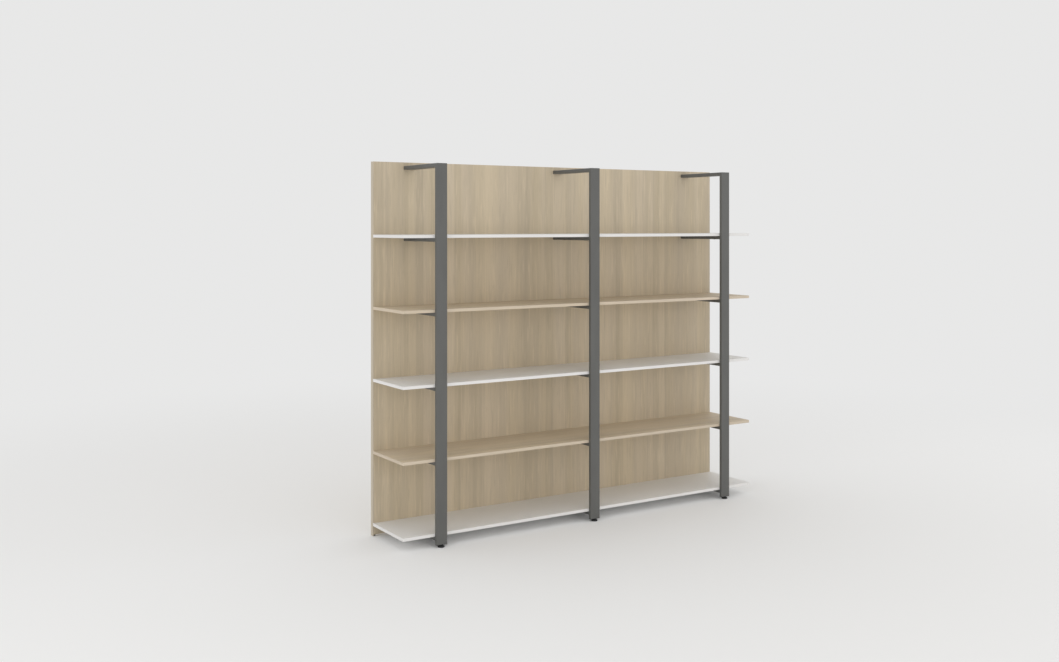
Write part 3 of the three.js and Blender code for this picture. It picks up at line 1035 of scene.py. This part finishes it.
def build_unit():
    """Every piece of the unit: boards first, then each frame with its fixings and foot, then the glides."""
    add_back_panel()
    add_end_trims()
    for name in nodes_named("shelf_"):
        if not name.startswith("shelf_arm"):
            add_shelf(name)
    for side in SIDES:
        add_post(side)
        add_arm(f"top_arm_{side}", mitred=True)
        for name in nodes_named(f"shelf_arm_{side}"):
            add_arm(name, mitred=False)
        for name in nodes_named(f"connector_bolt_{side}"):
            add_connector_bolt(name)
        add_welds(side)
        add_shelf_screws(side)
        add_foot_plug(side)
        add_foot_stud(side)
        add_foot_pad(side)
    for number in range(1, len(nodes_named("panel_glide")) + 1):
        add_panel_glide(number)


# ---------------------------------------------------------------- floor, light and camera

BACKDROP = (0.806, 0.806, 0.803, 1)
FLOOR_ALBEDO = (0.93, 0.927, 0.92, 1)
FLOOR_HALF_SIZE = 60.0
FLOOR_ROUGHNESS = 0.9
FLOOR_SHEEN = 0.1
FADE_START = 2.4  # from the unit's middle to where the floor starts to fade into the backdrop
FADE_END = 6.5
PAINTED_GLOW_UNDER_UNIT = 0.05  # painted glow: the backdrop's share in the floor's colour under the unit, which lightens the unit's shadow there

LIGHT_TARGET = (0, 0, 1.0)
SOFTBOXES = {  # place, width and height, and watts
    "front_softbox": ((0, -6.0, 1.6), (6.0, 2.5), 31),
    "left_softbox": ((-6.0, -2.5, 2.0), (3.0, 2.5), 34),
    "right_softbox": ((6.0, -2.5, 2.0), (3.0, 2.5), 22),
}

CAMERA_FROM_CORNER = (-2.589, -5.645)  # from the panel's front left edge, on the floor plan
CAMERA_HEIGHT = 1.684
CAMERA_TURN = math.radians(32.465)
LENS_MM = 38.685
CAMERA_REACH = 200.0
HORIZON_SHIFT = -0.10016  # share of the frame's width that the frame is moved; below zero is down


def add_floor():
    """A pale floor that fades into the backdrop's own colour a few metres from the unit, with a faint
    painted glow under the unit that lightens its shadow.
    """
    mesh = bmesh.new()
    bmesh.ops.create_grid(mesh, x_segments=1, y_segments=1, size=FLOOR_HALF_SIZE)
    data = bpy.data.meshes.new("floor")
    mesh.to_mesh(data)
    mesh.free()
    floor = bpy.data.objects.new("floor", data)
    bpy.context.scene.collection.objects.link(floor)
    material, tree, shader = new_material("studio_floor")
    shader.inputs["Base Color"].default_value = FLOOR_ALBEDO
    shader.inputs["Roughness"].default_value = FLOOR_ROUGHNESS
    shader.inputs["Specular IOR Level"].default_value = FLOOR_SHEEN
    distance = node(tree, "ShaderNodeVectorMath", {0: object_place(tree)}, operation="LENGTH")
    settings = {
        "Value": distance.outputs["Value"],
        "From Min": FADE_START,
        "From Max": FADE_END,
        "To Min": PAINTED_GLOW_UNDER_UNIT,
    }
    # Near the unit the floor keeps a faint painted glow that lightens its shadow; farther out it fades
    # wholly into the backdrop.
    fade = node(tree, "ShaderNodeMapRange", settings, interpolation_type="SMOOTHSTEP")
    glow = node(tree, "ShaderNodeEmission", {"Color": BACKDROP, "Strength": 1.0})
    mixed = node(tree, "ShaderNodeMixShader", {0: fade.outputs["Result"]})
    tree.links.new(shader.outputs[0], mixed.inputs[1])
    tree.links.new(glow.outputs[0], mixed.inputs[2])
    tree.links.new(mixed.outputs[0], tree.nodes["Material Output"].inputs["Surface"])
    data.materials.append(material)


def add_softbox(name, place, size, watts):
    """A broad rectangular light, aimed at the unit, that the camera doesn't see."""
    light = bpy.data.lights.new(name, "AREA")
    light.shape = "RECTANGLE"
    light.size, light.size_y = size
    light.energy = watts
    lamp = bpy.data.objects.new(name, light)
    lamp.location = place
    aim = Vector(LIGHT_TARGET) - Vector(place)
    lamp.rotation_euler = aim.to_track_quat("-Z", "Y").to_euler()
    lamp.visible_camera = False
    bpy.context.scene.collection.objects.link(lamp)


def add_light():
    """An even pale surround, and wide softboxes in front of the unit and to its sides."""
    world = bpy.data.worlds.new("studio")
    bpy.context.scene.world = world
    world.use_nodes = True
    background = world.node_tree.nodes["Background"]
    background.inputs["Color"].default_value = BACKDROP
    background.inputs["Strength"].default_value = 1.0
    for name, (place, size, watts) in SOFTBOXES.items():
        add_softbox(name, place, size, watts)
    bpy.context.scene.view_settings.view_transform = "Standard"


def add_camera():
    """A level camera to the front left, at eye height, with the frame shifted down."""
    data = bpy.data.cameras.new("camera")
    data.lens = LENS_MM
    data.shift_y = HORIZON_SHIFT
    data.clip_end = CAMERA_REACH
    camera = bpy.data.objects.new("camera", data)
    corner = Vector((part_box("end_trim_left")[0].x, PANEL_LOW.y))
    camera.location = (corner.x + CAMERA_FROM_CORNER[0], corner.y + CAMERA_FROM_CORNER[1], CAMERA_HEIGHT)
    camera.rotation_euler = (math.pi / 2, 0, -CAMERA_TURN)
    bpy.context.scene.collection.objects.link(camera)
    bpy.context.scene.camera = camera


add_camera()
build_unit()
add_floor()
add_light()
